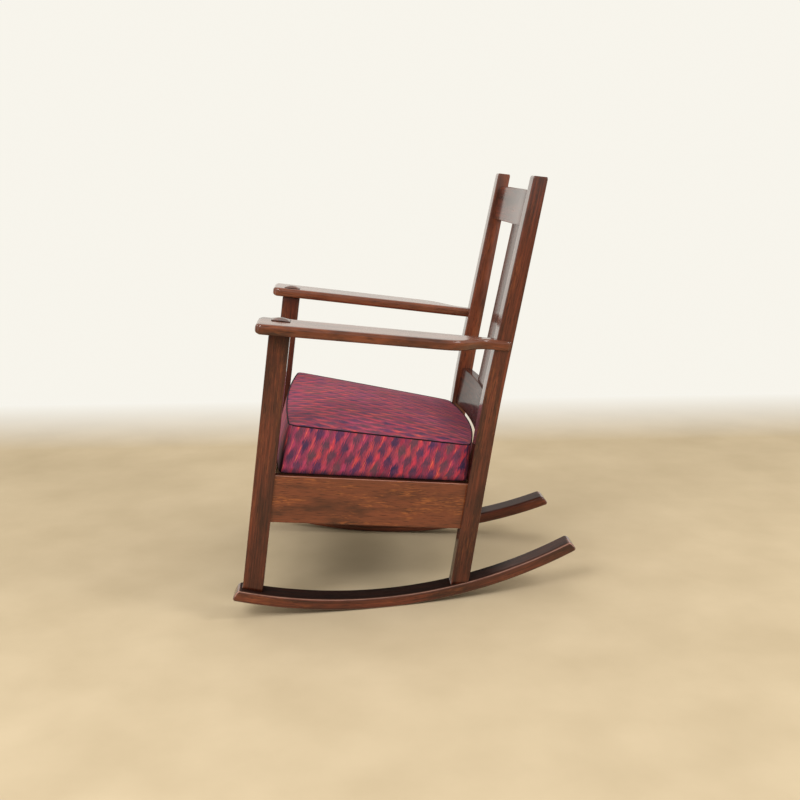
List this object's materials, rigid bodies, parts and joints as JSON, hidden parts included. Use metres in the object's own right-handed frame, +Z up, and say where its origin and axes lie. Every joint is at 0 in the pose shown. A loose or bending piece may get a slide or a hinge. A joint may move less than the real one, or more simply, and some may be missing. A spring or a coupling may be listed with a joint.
{
  "type": "rocking chair",
  "caption": "Wooden rocking armchair with curved rockers, broad flat arms, bowed back rails joined by a plain splat, and a lift-out sprung upholstered seat.",
  "frame": {"origin": "middle of the overall box, on the floor under the rockers' lowest flats", "axes": "+Z up, -Y the way the sitter faces, +X the sitter's left; X 0 is the plane of symmetry"},
  "size_m": [0.726, 0.73, 0.8841],
  "materials": {
    "oak": "dark red-brown stained oak, semi-gloss shellac",
    "secondary_oak": "unstained sawn oak",
    "seat_fabric": "wine-red woven flame-stitch upholstery cloth",
    "burlap": "coarse plain jute weave",
    "dust_cover_cloth": "thin black cambric",
    "screw_steel": "plain steel wood screws",
    "spring_steel": "dark drawn spring wire"
  },
  "bodies": {
    "frame": {"rocker_left": "oak", "rocker_right": "oak", "front_post_left": "oak", "front_post_right": "oak", "rear_post_left": "oak", "rear_post_right": "oak", "side_rail_left": "oak", "side_rail_right": "oak", "front_rail": "oak", "rear_rail": "oak", "crest_rail": "oak", "lower_back_rail": "oak", "back_splat": "oak", "arm_left": "oak", "arm_right": "oak", "arm_screw_plug_left": "oak", "arm_screw_plug_right": "oak", "corner_block_front_left": "secondary_oak", "corner_block_front_right": "secondary_oak", "corner_block_rear_left": "secondary_oak", "corner_block_rear_right": "secondary_oak", "seat_cleat_left": "secondary_oak", "seat_cleat_right": "secondary_oak", "seat_cleat_front": "secondary_oak", "seat_cleat_rear": "secondary_oak", "rocker_screw_front_left": "screw_steel", "rocker_screw_front_right": "screw_steel", "rocker_screw_rear_left": "screw_steel", "rocker_screw_rear_right": "screw_steel", "block_screw_front_left_side": "screw_steel", "block_screw_front_left_cross": "screw_steel", "block_screw_front_right_side": "screw_steel", "block_screw_front_right_cross": "screw_steel", "block_screw_rear_left_side": "screw_steel", "block_screw_rear_left_cross": "screw_steel", "block_screw_rear_right_side": "screw_steel", "block_screw_rear_right_cross": "screw_steel", "arm_screw_left": "screw_steel", "arm_screw_right": "screw_steel"},
    "seat": {"seat_frame_left": "secondary_oak", "seat_frame_right": "secondary_oak", "seat_frame_front": "secondary_oak", "seat_frame_rear": "secondary_oak", "seat_slat_1": "secondary_oak", "seat_slat_2": "secondary_oak", "seat_slat_3": "secondary_oak", "spring_1_1": "spring_steel", "spring_1_2": "spring_steel", "spring_1_3": "spring_steel", "spring_2_1": "spring_steel", "spring_2_2": "spring_steel", "spring_2_3": "spring_steel", "spring_3_1": "spring_steel", "spring_3_2": "spring_steel", "spring_3_3": "spring_steel", "dust_cover": "dust_cover_cloth", "burlap": "burlap", "cushion": "seat_fabric"}
  },
  "joints": [
    {"name": "seat_lift", "type": "slide", "parent": "frame", "child": "seat", "axis": [0, 0.1132, 0.9936], "range_m": [0, 0.12]}
  ]
}
